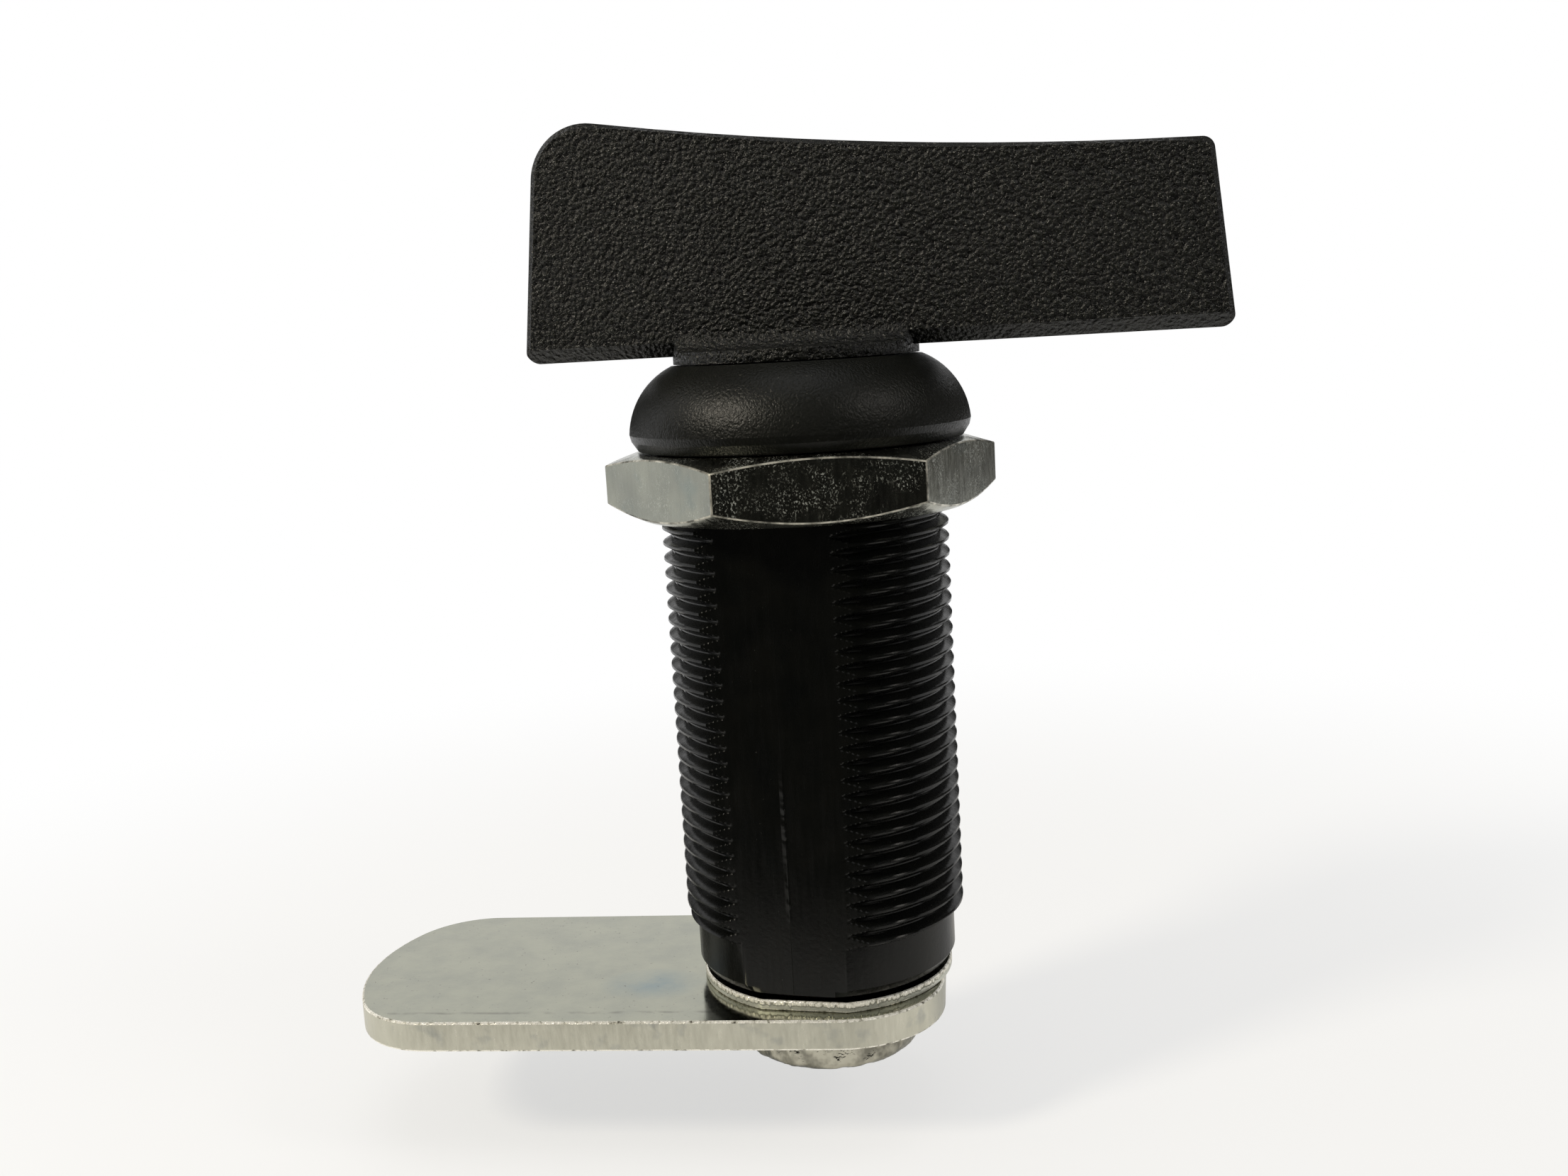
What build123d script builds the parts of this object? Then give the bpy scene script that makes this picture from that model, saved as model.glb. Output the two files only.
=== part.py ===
"""Compression latch with a wing handle, in millimetres.

Turning the wing first swings the cam through a quarter turn, then a second
quarter turn draws the cam up towards the panel, because a cross pin climbs
two helical slots in the drive tube. The latch stands here as it is when
closed and drawn up.

Frame: the origin is the centre of the flange's underside, where the panel
bears. +Z runs out along the shaft towards the wing. The barrel's two flats
face +Y and -Y, and the cam points about -X.
"""
import os
from math import cos, pi, radians, sin

from build123d import *
from build123d.topology import SkipClean

os.makedirs("parts", exist_ok=True)

# --------------------------------------------------------------- motion
swing_travel = 90.0         # degrees that the cam swings, between its stops
lift_travel = 6.0           # how far the second quarter turn draws the cam up
lift_turn = 90.0            # degrees of the wing's turn that give that lift
cam_rest_turn = 9.0         # degrees the cam and wing stand off the closed stop

# --------------------------------------------------------------- barrel
thread_radius = 11.1        # crests of the barrel's fine thread
across_flats = 19.05        # between the barrel's two flats
thread_end = 37.3           # from the flange's underside to the end of the thread
relief_radius = 10.3        # plain end of the barrel below the thread
barrel_length = 41.1        # from the flange's underside to the barrel's end
nose_height = 0.6           # lead-in round the barrel's end
nose_depth = 0.4
main_bore = 7.7
end_bore_length = 0.5       # plain lip of the bore outside the end ring

# --------------------------------------------------------------- flange
flange_height = 6.3
flange_radius = 13.1        # widest, just above the seat
flange_seat_radius = 12.3   # flat ring that bears on the panel
flange_tuck = 1.3           # height at which the flange is widest
crown_radius = 9.6          # flat top that the wing turns on
crown_curve = 5.93
shoulder_level = 2.6        # inside step that keeps the hub in

# --------------------------------------------------------------- nut
nut_across_flats = 26.24
nut_thickness = 5.0
nut_face_radius = 12.6      # edge of the nut's chamfered faces
nut_upper_chamfer = 0.85
nut_lower_chamfer = 1.25
nut_turn = 19.7             # degrees from -Y to the middle of a face

# --------------------------------------------------------------- wing
wing_short_end = 20.3       # axis to the wing's short end, along its lower edge
wing_long_end = 32.35       # axis to the wing's long end, along its lower edge
wing_short_lean = 1.8       # how far each end leans in towards the top
wing_long_lean = 1.4
wing_under = 7.0            # level of the wing's lower edge
wing_short_top = 25.2       # level of the top at the short end, as a sharp corner
wing_long_top = 20.5
wing_hollow_radius = 290.0  # long hollow curve of the top edge
wing_thickness = 7.0
wing_draft = 2.0            # degrees that each side leans in towards the top
wing_bevel = 1.1            # dark bevel along the lower edge
wing_thumb_radius = 4.2     # large corner at the short end
wing_corner_radius = 0.9
wing_edge_break = 0.4
foot_radius = 9.4           # round foot that the wing stands on, as wide as the crown
foot_rim_height = 0.9
foot_sweep = 1.5            # hollow curve from the foot's top up to the blade's sides

# --------------------------------------------------------------- hub and drive
hub_radius = 6.5
hub_flange_height = 3.75
hub_metal = 0.8             # solid hub left between the tube's end and the ring groove
drive_wall = 1.7
drive_tube_radius = 5.9
tube_end_gap = 1.0          # drive tube's lower end to the end bush
hub_pin_radius = 1.25
hub_pin_setback = 1.8       # hub pin's axis above the hub flange's lower face
o_ring_thickness = 1.2
o_ring_groove = 1.15
o_ring_groove_width = 1.4
thrust_washer_thickness = 0.6
drag_washer_thickness = 0.6
slot_width = 3.2            # helical slots, across

# --------------------------------------------------------------- guide sleeve
sleeve_wall = 1.5
guide_slot_width = 3.12
stop_lug_height = 2.0
stop_lug_arc = 40.0
stop_lug_closed = 45.0      # degrees from +X to the lug's middle when closed
stop_slack = 1.0            # degrees of room at each stop

# --------------------------------------------------------------- shaft
shaft_radius = 4.1
spigot_radius = 2.4
spigot_length = 10.5
shaft_shoulder = 16.5       # depth of the shaft's top shoulder when drawn up
pin_depth = 21.0            # depth of the cross pin when drawn up
cross_pin_radius = 1.5
cross_pin_half = 7.35
pin_turn = 90.0             # degrees from +X at which the cross pin lies, before the rest turn
spring_wire = 0.9
spring_mean_radius = 3.3
spring_turns = 5
spring_seat_thickness = 1.2
tang_width = 5.75           # square end of the shaft

# --------------------------------------------------------------- end bush
bush_length = 6.1
end_ring_thickness = 0.8
end_ring_bite = 0.55        # how far the end ring stands into its groove
end_ring_width = 1.7
end_ring_mouth = 5.0

# --------------------------------------------------------------- cam and its stack
washer_radius = 10.0
washer_flats = 18.9
washer_thickness = 0.8
washer_hole = 6.45
washer_slack_turn = 6.5     # degrees the loose washer has turned on the tang
cam_thickness = 2.4
cam_width = 22.0
cam_reach = 38.4            # shaft axis to the cam's tip
cam_tip_radius = 16.0
cam_tip_corner = 7.0
cam_arm_start = 21.0        # shaft axis to where the arm stands clear of what is above it
cam_heel = 9.4              # shaft axis to the cam's back end
cam_heel_corner = 8.0
screw_head_radius = 6.9
screw_head_height = 3.7
screw_rim_height = 1.3      # rounded lower edge of the head, as two bevels
screw_rim_depth = 1.5
screw_radius = 2.0
screw_length = 8.0
screw_end_room = 1.0        # tapped hole beyond the screw's end
drive_recess_width = 4.0
drive_recess_depth = 1.6

# --------------------------------------------------------------- clearances
turn_gap = 0.08             # radial, on shafts and pins that turn or slide
fit_gap = 0.02              # radial, on pressed and seated pieces
face_gap = 0.1              # between faces that turn on each other
loose_gap = 0.3             # between pieces that must never rub
lift_gap = 0.5              # barrel's end to the stop washer when drawn up

# --------------------------------------------------------------- levels that follow
washer_top = -(barrel_length + lift_gap)
cam_top = washer_top - washer_thickness
cam_bottom = cam_top - cam_thickness
hub_flange_top = shoulder_level - thrust_washer_thickness - face_gap
hub_bottom = hub_flange_top - hub_flange_height
hub_pin_level = hub_bottom + hub_pin_setback
drive_bore = drive_tube_radius - drive_wall
drag_washer_top = hub_bottom - face_gap
sleeve_top = drag_washer_top - drag_washer_thickness - face_gap
sleeve_radius = main_bore - turn_gap
sleeve_bore = sleeve_radius - sleeve_wall
end_ring_bottom = -(barrel_length - end_bore_length)
end_ring_top = end_ring_bottom + end_ring_thickness
bush_bottom = end_ring_top + fit_gap
bush_top = bush_bottom + bush_length
sleeve_bottom = bush_top + loose_gap
spring_seat_top = hub_pin_level - hub_pin_radius
spring_top = spring_seat_top - spring_seat_thickness
pin_level = -pin_depth
pin_low_level = pin_level - lift_travel

UPWARDS = (Align.CENTER, Align.CENTER, Align.MIN)


# --------------------------------------------------------------- helpers
def rod(radius, low, high):
    """A cylinder about the latch's axis, from low to high."""
    return Pos(0, 0, low) * Cylinder(radius, high - low, align=UPWARDS)


def ring(outer, inner, low, high):
    """A plain ring about the latch's axis, from low to high."""
    return rod(outer, low, high) - rod(inner, low, high)


def cross_rod(radius, half_length, level, turn):
    """A cylinder lying across the axis at a level, turn degrees from X."""
    lying = Rot(0, 90, 0) * Cylinder(radius, 2 * half_length)
    return Pos(0, 0, level) * Rot(0, 0, turn) * lying


def sector(outer, inner, low, high, start, arc):
    """Part of a ring, from start degrees through arc degrees about +Z."""
    middle = Pos((outer + inner) / 2, (low + high) / 2)
    section = Plane.XZ * middle * Rectangle(outer - inner, high - low)
    return Rot(0, 0, start) * revolve(section, Axis.Z, arc)


def turned(outline):
    """The solid that a closed (radius, level) outline sweeps about the axis."""
    return revolve(Plane.XZ * make_face(outline), Axis.Z)


# --------------------------------------------------------------- barrel
def flange():
    """Domed head whose lower edge tucks in to the ring that bears on the panel."""
    seat = (flange_seat_radius, 0)
    widest = (flange_radius, flange_tuck)
    crown = (crown_radius, flange_height)
    outline = Polyline((0, 0), seat, widest)
    outline += RadiusArc(widest, crown, -crown_curve)
    outline += Polyline(crown, (0, flange_height), (0, 0))
    return turned(outline)


def barrel_body():
    """Threaded barrel at its crests, its plain end and conical nose, with two flats."""
    nose_radius = relief_radius - nose_depth
    outline = Polyline(
        (0, 0),
        (thread_radius, 0),
        (thread_radius, -thread_end),
        (relief_radius, -thread_end),
        (relief_radius, nose_height - barrel_length),
        (nose_radius, -barrel_length),
        (0, -barrel_length),
        (0, 0),
    )
    flats = Box(2 * flange_radius, across_flats, 3 * barrel_length)
    return turned(outline) & flats


def housing():
    solid = flange() + barrel_body()
    solid -= rod(main_bore, -barrel_length, shoulder_level)
    solid -= rod(hub_radius + turn_gap, shoulder_level, flange_height)
    groove_radius = main_bore + end_ring_bite + fit_gap
    solid -= rod(groove_radius, end_ring_bottom - fit_gap, end_ring_top + fit_gap)
    return solid


def thrust_washer():
    """Hard washer between the housing's inside step and the hub's flange."""
    top = shoulder_level
    return ring(main_bore - fit_gap, hub_radius + turn_gap, top - thrust_washer_thickness, top)


def end_bush():
    """Bearing at the barrel's end, with the pocket that stops the guide sleeve's lug."""
    solid = ring(main_bore - fit_gap, shaft_radius + turn_gap, bush_bottom, bush_top)
    pocket_floor = bush_top - stop_lug_height - loose_gap
    start = stop_lug_closed - stop_lug_arc / 2 - stop_slack
    arc = swing_travel + stop_lug_arc + 2 * stop_slack
    inner = sleeve_bore - turn_gap
    return solid - sector(2 * main_bore, inner, pocket_floor, 2 * bush_top - pocket_floor, start, arc)


def end_ring():
    """Spring ring that holds the bush in, open at one side."""
    outer = main_bore + end_ring_bite
    solid = ring(outer, outer - end_ring_width, end_ring_bottom, end_ring_top)
    mouth = Pos(outer, 0, end_ring_bottom) * Box(2 * outer, end_ring_mouth, 4 * end_ring_thickness)
    return solid - mouth


# --------------------------------------------------------------- nut
def hex_nut():
    """Mounting nut run up to the flange, its corners chamfered on both faces."""
    top = -face_gap
    bottom = top - nut_thickness
    prism = extrude(RegularPolygon(nut_across_flats / 2, 6, major_radius=False), nut_thickness)
    corner = nut_across_flats / 2 / cos(pi / 6)
    outline = Polyline(
        (0, top),
        (nut_face_radius, top),
        (corner, top - nut_upper_chamfer),
        (corner, bottom + nut_lower_chamfer),
        (nut_face_radius, bottom),
        (0, bottom),
        (0, top),
    )
    solid = (Pos(0, 0, bottom) * Rot(0, 0, nut_turn) * prism) & turned(outline)
    return solid - rod(thread_radius + turn_gap, bottom, top)


# --------------------------------------------------------------- guide sleeve
def guide_slot():
    """A straight slot through both walls of the sleeve, as long as the pin's travel."""
    high = cross_rod(guide_slot_width / 2, 2 * main_bore, pin_level, pin_turn)
    low = cross_rod(guide_slot_width / 2, 2 * main_bore, pin_low_level, pin_turn)
    middle = Box(4 * main_bore, guide_slot_width, lift_travel)
    return high + low + Pos(0, 0, (pin_level + pin_low_level) / 2) * Rot(0, 0, pin_turn) * middle


def guide_sleeve():
    """Sleeve that swings the pin and shaft, and lets them rise and fall in its slots."""
    solid = ring(sleeve_radius, sleeve_bore, sleeve_bottom, sleeve_top)
    solid -= guide_slot()
    lug_low = bush_top - stop_lug_height
    start = stop_lug_closed - stop_lug_arc / 2
    lug = sector(sleeve_radius, sleeve_bore, lug_low, sleeve_bottom, start, stop_lug_arc)
    return solid + lug


def drag_washer():
    """Plastic washer whose rub keeps the cam where it is left."""
    low = drag_washer_top - drag_washer_thickness
    return ring(sleeve_radius, sleeve_bore, low, drag_washer_top)


# --------------------------------------------------------------- wing and hub
def wing_outline():
    """The wing seen from its side: a blade with a hollow top and one large corner."""
    short_low = (-wing_short_end, wing_under)
    short_high = (wing_short_lean - wing_short_end, wing_short_top)
    long_high = (wing_long_end - wing_long_lean, wing_long_top)
    long_low = (wing_long_end, wing_under)
    outline = Line(short_low, short_high)
    outline += RadiusArc(short_high, long_high, -wing_hollow_radius)
    outline += Polyline(long_high, long_low, short_low)
    face = make_face(outline)
    thumb = face.vertices().sort_by(Axis.Y)[-1]
    face = fillet(thumb, wing_thumb_radius)
    sharp = [v for v in face.vertices() if (v.X > 0 or v.Y < wing_under + wing_bevel)]
    return fillet(sharp, wing_corner_radius)


def wing_half_thickness(level):
    """Half the wing's thickness at a level: both sides lean in towards the top."""
    return wing_thickness / 2 - (level - wing_under) * sin(radians(wing_draft))


def wing_section():
    """The wing seen from its end."""
    half = wing_half_thickness(wing_under)
    top_half = wing_half_thickness(wing_short_top)
    return make_face(Polyline(
        (-half, wing_under),
        (-top_half, wing_short_top),
        (top_half, wing_short_top),
        (half, wing_under),
        (-half, wing_under),
    ))


def lower_bevel():
    """What the bevel takes off the lower edge of the wing's +Y side."""
    half = wing_thickness / 2
    corner = Polyline(
        (half - wing_bevel, wing_under),
        (half, wing_under + wing_bevel),
        (half + wing_bevel, wing_under),
        (half - wing_bevel, wing_under),
    )
    return extrude(Plane.YZ * make_face(corner), 2 * wing_long_end, both=True)


def blade():
    """The wing alone: its rim broken all round, then its lower edge bevelled."""
    side = extrude(Plane.XZ * wing_outline(), wing_thickness, both=True)
    along = extrude(Plane.YZ * wing_section(), 2 * wing_long_end, both=True)
    solid = side & along
    rim = [e for e in solid.edges() if abs(e.bounding_box().center().Y) > wing_thickness / 4]
    solid = chamfer(rim, wing_edge_break)
    return solid - lower_bevel() - mirror(lower_bevel(), Plane.XZ)


def hub():
    """Round hub under the wing, with the flange that the drive tube is pinned in."""
    solid = rod(hub_radius, hub_flange_top, flange_height + face_gap)
    solid += rod(sleeve_radius, hub_bottom, hub_flange_top)
    solid -= rod(drive_tube_radius + fit_gap, hub_bottom, tube_top() + fit_gap)
    groove_low = o_ring_level() - o_ring_groove_width / 2
    groove = ring(2 * hub_radius, hub_radius - o_ring_groove, groove_low, groove_low + o_ring_groove_width)
    return solid - groove - cross_rod(hub_pin_radius + fit_gap, 2 * hub_radius, hub_pin_level, 0)


def tube_top():
    return hub_flange_top + hub_metal


def o_ring_level():
    return tube_top() + hub_metal + o_ring_groove_width / 2


def foot():
    """Round foot of the wing, whose top sweeps up to the blade's two sides."""
    low = flange_height + face_gap
    rim = low + foot_rim_height
    high = rim + foot_sweep
    side = wing_half_thickness(high)
    outline = Polyline((0, high), (0, low), (foot_radius, low), (foot_radius, rim), (side + foot_sweep, rim))
    outline += RadiusArc((side + foot_sweep, rim), (side, high), foot_sweep)
    outline += Line((side, high), (0, high))
    half_section = make_face(outline)
    section = half_section + mirror(half_section, Plane.YZ)
    return extrude(Plane.YZ * section, foot_radius, both=True) & rod(foot_radius, low, high)


def wing_handle():
    """Wing, foot and hub in one casting."""
    return blade() + foot() + hub()


def hub_o_ring():
    """Seal between the hub and the flange's bore, its round section drawn six-sided."""
    middle = hub_radius - o_ring_groove + o_ring_thickness / 2 + fit_gap
    section = Pos(middle, o_ring_level()) * RegularPolygon(o_ring_thickness / 2, 6)
    return revolve(Plane.XZ * section, Axis.Z)


def hub_pin():
    return cross_rod(hub_pin_radius, sleeve_radius - fit_gap, hub_pin_level, 0)


def helical_slot():
    """One slot through the drive tube, from its lower end at +X up and round."""
    middle_radius = (drive_tube_radius + drive_bore) / 2
    pitch = lift_travel * 360 / lift_turn
    path = Helix(pitch, lift_travel, middle_radius)
    across = Plane(origin=path @ 0, x_dir=(1, 0, 0), z_dir=path % 0)
    swept = sweep(across * Rectangle(3 * drive_wall, slot_width), path, is_frenet=True)
    lower_end = Pos(middle_radius, 0, 0) * Rot(0, 90, 0) * Cylinder(slot_width / 2, 3 * drive_wall)
    upper_end = Rot(0, 0, lift_turn) * Pos(0, 0, lift_travel) * lower_end
    return swept + lower_end + upper_end


def drive_tube():
    """Steel tube pinned in the hub, with two helical slots for the cross pin."""
    solid = ring(drive_tube_radius, drive_bore, bush_top + tube_end_gap, tube_top())
    for side in (pin_turn, pin_turn + 180):
        solid -= Pos(0, 0, pin_low_level) * Rot(0, 0, side - lift_turn) * helical_slot()
    return solid - cross_rod(hub_pin_radius + fit_gap, 2 * hub_radius, hub_pin_level, 0)


def spring_seat():
    """Cap that the return spring pushes against, under the hub pin."""
    return rod(drive_bore - turn_gap, spring_top, spring_seat_top)


# --------------------------------------------------------------- shaft
def shaft():
    """Shaft with a spigot inside the spring, the pin's hole and a square tang."""
    shoulder = -shaft_shoulder
    tang_end = cam_bottom + loose_gap
    solid = rod(spigot_radius, shoulder, shoulder + spigot_length)
    solid += rod(shaft_radius, washer_top, shoulder)
    tang = Box(tang_width, tang_width, washer_top - tang_end, align=UPWARDS)
    solid += Pos(0, 0, tang_end) * tang
    solid -= cross_rod(cross_pin_radius + fit_gap, 2 * shaft_radius, pin_level, pin_turn)
    return solid - rod(screw_radius + fit_gap, tang_end, cam_bottom + screw_length + screw_end_room)


def cross_pin():
    return cross_rod(cross_pin_radius, cross_pin_half, pin_level, pin_turn)


def return_spring():
    """Square-wire spring that pushes the shaft down as the wing is turned back."""
    low = -shaft_shoulder + spring_wire / 2 + fit_gap
    high = spring_top - spring_wire / 2 - fit_gap
    path = Helix((high - low) / spring_turns, high - low, spring_mean_radius)
    start = Plane(origin=path @ 0, x_dir=(1, 0, 0), z_dir=path % 0)
    return Pos(0, 0, low) * sweep(start * Rectangle(spring_wire, spring_wire), path, is_frenet=True)


def stop_washer():
    """Loose washer with two flats, turned a little on the square tang."""
    disc = rod(washer_radius, cam_top, washer_top) & Box(
        2 * washer_radius, washer_flats, 3 * barrel_length)
    hole = Pos(0, 0, cam_top) * Box(washer_hole, washer_hole, washer_thickness, align=UPWARDS)
    return Rot(0, 0, -washer_slack_turn) * (disc - hole)


def cam_outline():
    """Cam seen from above: a bulged tip towards -X and a rounded heel."""
    half = cam_width / 2
    tip_middle = cam_tip_radius - cam_reach
    tip_start = tip_middle - (cam_tip_radius ** 2 - half ** 2) ** 0.5
    outline = Polyline((tip_start, half), (cam_heel, half), (cam_heel, -half), (tip_start, -half))
    outline += ThreePointArc((tip_start, -half), (-cam_reach, 0), (tip_start, half))
    face = make_face(outline)
    heel = [v for v in face.vertices() if v.X > 0]
    face = fillet(heel, cam_heel_corner)
    tip = [v for v in face.vertices() if v.X < tip_middle]
    return fillet(tip, cam_tip_corner)


def cam():
    """Flat cam that bears on the frame behind the panel."""
    solid = extrude(Pos(0, 0, cam_bottom) * cam_outline(), cam_thickness)
    side = tang_width + 2 * turn_gap
    solid -= Pos(0, 0, cam_bottom) * Box(side, side, cam_thickness, align=UPWARDS)
    heel, arm = solid.split(Plane.YZ.offset(-cam_arm_start), keep=Keep.BOTH)
    with SkipClean():       # keeps the arm's bearing face as a face of its own
        return heel + arm


def cam_screw():
    """Screw that clamps the cam and washer against the shaft's shoulder."""
    low = cam_bottom - screw_head_height
    outline = Polyline(
        (0, low),
        (screw_head_radius - screw_rim_depth, low),
        (screw_head_radius - screw_rim_depth / 3, low + screw_rim_height / 3),
        (screw_head_radius, low + screw_rim_height),
        (screw_head_radius, cam_bottom),
        (0, cam_bottom),
        (0, low),
    )
    head = turned(outline)
    recess = extrude(RegularPolygon(drive_recess_width / 2, 6, major_radius=False), drive_recess_depth)
    return head + rod(screw_radius, cam_bottom, cam_bottom + screw_length) - Pos(0, 0, low) * recess


# --------------------------------------------------------------- the pieces
FIXED_PIECES = {
    "housing": housing,
    "thrust_washer": thrust_washer,
    "end_bush": end_bush,
    "end_ring": end_ring,
    "hex_nut": hex_nut,
}
TURNING_PIECES = {
    "guide_sleeve": guide_sleeve,
    "drag_washer": drag_washer,
    "wing_handle": wing_handle,
    "hub_o_ring": hub_o_ring,
    "hub_pin": hub_pin,
    "drive_tube": drive_tube,
    "spring_seat": spring_seat,
    "shaft": shaft,
    "cross_pin": cross_pin,
    "return_spring": return_spring,
    "stop_washer": stop_washer,
    "cam": cam,
    "cam_screw": cam_screw,
}

for name, make in FIXED_PIECES.items():
    export_step(make(), f"parts/{name}.step")

for name, make in TURNING_PIECES.items():
    export_step(Rot(0, 0, cam_rest_turn) * make(), f"parts/{name}.step")
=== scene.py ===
"""Compression latch with a wing handle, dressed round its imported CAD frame.

Everything is in metres in the frame's own axes: the origin is the centre of
the flange's underside, +Z runs out towards the wing, and the barrel's two
flats face +Y and -Y. Sizes below are written in millimetres times MM.
"""
from math import atan2, cos, degrees, floor, pi, radians, sin

import bmesh
import bpy
from mathutils import Matrix, Vector
from mathutils.noise import fractal


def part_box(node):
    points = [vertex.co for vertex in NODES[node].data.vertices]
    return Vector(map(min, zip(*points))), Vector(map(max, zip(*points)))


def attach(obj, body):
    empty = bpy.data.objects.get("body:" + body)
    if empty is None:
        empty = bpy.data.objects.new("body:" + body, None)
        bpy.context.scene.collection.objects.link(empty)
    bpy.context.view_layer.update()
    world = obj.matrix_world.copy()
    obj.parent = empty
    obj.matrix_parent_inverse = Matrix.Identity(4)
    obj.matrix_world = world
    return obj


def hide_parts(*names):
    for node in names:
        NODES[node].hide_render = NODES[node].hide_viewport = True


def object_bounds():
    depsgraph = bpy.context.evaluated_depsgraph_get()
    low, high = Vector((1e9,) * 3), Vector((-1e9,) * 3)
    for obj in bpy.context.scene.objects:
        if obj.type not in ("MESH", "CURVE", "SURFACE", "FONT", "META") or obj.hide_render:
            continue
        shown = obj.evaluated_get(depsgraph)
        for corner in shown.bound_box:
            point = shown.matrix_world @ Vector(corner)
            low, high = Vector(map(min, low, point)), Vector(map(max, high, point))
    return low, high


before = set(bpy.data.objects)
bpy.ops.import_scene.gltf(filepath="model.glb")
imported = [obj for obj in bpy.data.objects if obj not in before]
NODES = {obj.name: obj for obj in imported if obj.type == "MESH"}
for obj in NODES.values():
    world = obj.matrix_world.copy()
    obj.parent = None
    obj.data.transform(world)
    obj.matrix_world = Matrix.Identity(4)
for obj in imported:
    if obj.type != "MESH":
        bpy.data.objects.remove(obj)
cad_low, cad_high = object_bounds()

MM = 0.001

# ------------------------------------------------------------ sizes of the barrel
THREAD_RADIUS = 11.1 * MM
THREAD_DEPTH = 0.72 * MM
THREAD_PITCH = 1.2 * MM
THREAD_END = -37.3 * MM
THREAD_RUN_OUT = 0.35 * THREAD_PITCH
THREAD_ROWS = 12                # rings of points for each turn of the thread
ROOT_LAND = 0.14                # the root's land, as a share of the way from root to crest
FLANK_SHARE = 0.68              # the sloping flank's share of that way; the rest is the crest's land
RELIEF_RADIUS = 10.3 * MM
BARREL_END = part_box("housing")[0].z
RELIEF_GAP = 0.02 * MM          # the relief starts this far below the thread's end
NOSE_START = BARREL_END + 0.6 * MM
NOSE_EDGE = 0.15 * MM
NOSE_RADIUS = 9.9 * MM
FLAT_DISTANCE = 9.525 * MM
BORE_RADIUS = 7.7 * MM
CROWN_BORE = 6.58 * MM
SHOULDER_LEVEL = 2.6 * MM
FLANGE_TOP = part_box("housing")[1].z
SEAT_RADIUS = 12.3 * MM
FLANGE_RADIUS = 13.1 * MM
FLANGE_WIDEST = 1.3 * MM
CROWN_RADIUS = 9.6 * MM
CROWN_CURVE = 5.93 * MM
CROWN_POINTS = 14
ABOVE_SEAT = 0.0005 * MM        # faces whose middle is higher than this are the flange's

# Stretches of angle in degrees from a flat's middle, and how far apart the points are in each.
# They are close where the thread runs out at the flat's edges and at the parting line.
STRETCHES = (
    (-90, -35, 3.0),
    (-35, -21, 0.5),
    (-21, -4, 4.0),
    (-4, 0, 0.2),
    (0, 21, 4.0),
    (21, 35, 0.5),
    (35, 90, 3.0),
)

# (radius, level) of the points round the flange's lower edge, and from its top down into the bore.
FLANGE_FOOT = (
    (THREAD_RADIUS - THREAD_DEPTH, 0.0),
    (SEAT_RADIUS, 0.0),
    (SEAT_RADIUS + 0.2 * MM, 0.05 * MM),
    (FLANGE_RADIUS - 0.12 * MM, FLANGE_WIDEST * 0.6),
)
FLANGE_MOUTH = (
    (CROWN_RADIUS - 0.3 * MM, FLANGE_TOP),
    (CROWN_BORE, FLANGE_TOP),
    (CROWN_BORE, SHOULDER_LEVEL),
    (BORE_RADIUS, SHOULDER_LEVEL),
)

# ------------------------------------------------------------ sizes of the moulding marks on its flats
BESIDE_FLATS = 0.3              # where the angle's sine is below this, no flat comes near
NO_LIMIT = 1.0                  # a metre, farther out than the barrel reaches
PARTING_TURN = radians(-1.8)    # the mould's parting line stands this far off each flat's middle
PARTING_WIDTH = 0.4             # degrees to each side of the line
LOW_RIDGE = 0.045 * MM          # the line's height below the flash
HIGH_RIDGE = 0.01 * MM          # and above it
DRAFT = 0.0008                  # share of FLAT_DISTANCE lost for each degree before the line
FLASH_LEVEL = -29.0 * MM        # middle of the stretch where the parting line is ragged
FLASH_REACH = 6.5 * MM
FLASH_FADE = 3                  # how steeply the flash sets in at its ends
FLASH_HEIGHT = 0.13 * MM
FLASH_GRAIN = 0.8 * MM
FLASH_MIDDLE, FLASH_SWING, FLASH_LEAST = 0.5, 0.7, 0.1
WIDTH_BEFORE = 1.9              # degrees that the flash spreads before the line
WIDTH_AFTER = 0.7               # and after it

# ------------------------------------------------------------ sizes of the cam and its screw
CAM_REST_TURN = radians(9)      # the cam's middle line at rest, round from the X axis
CAM_LIFT = 6.0 * MM             # how far the cam comes down when it is let out
HEAD_BOTTOM, HEAD_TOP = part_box("cam_screw")[0].z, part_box("cam")[0].z
SCREW_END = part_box("cam_screw")[1].z
HEAD_RADIUS = 7.2 * MM
HEAD_ROUND = 0.75 * MM
SHANK_RADIUS = 2.0 * MM
RECESS_WIDTH = 4.0 * MM
RECESS_DEPTH = 1.6 * MM
RECESS_BEVEL = 0.15 * MM
RECESS_RIM = 0.6 * MM           # how far from the recess the rough plating sets in
DENT_DEPTH = 0.22 * MM
DENT_SIZE = 1.1 * MM
DENTS_POINT_TO = HEAD_TOP + 3 * MM
POINT_RADIUS = 0.02 * MM        # closes a ring of points to a dot
SCREW_COLUMNS = 180
FACE_RINGS = 8
SIDE_RINGS = 10

# ------------------------------------------------------------ the noise that roughens shapes
FRACTAL_FALL = 1.0              # the power by which finer layers of lumps are lower
FRACTAL_STEP = 2.0              # how much finer each layer is than the one before
FRACTAL_LAYERS = 3

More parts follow.
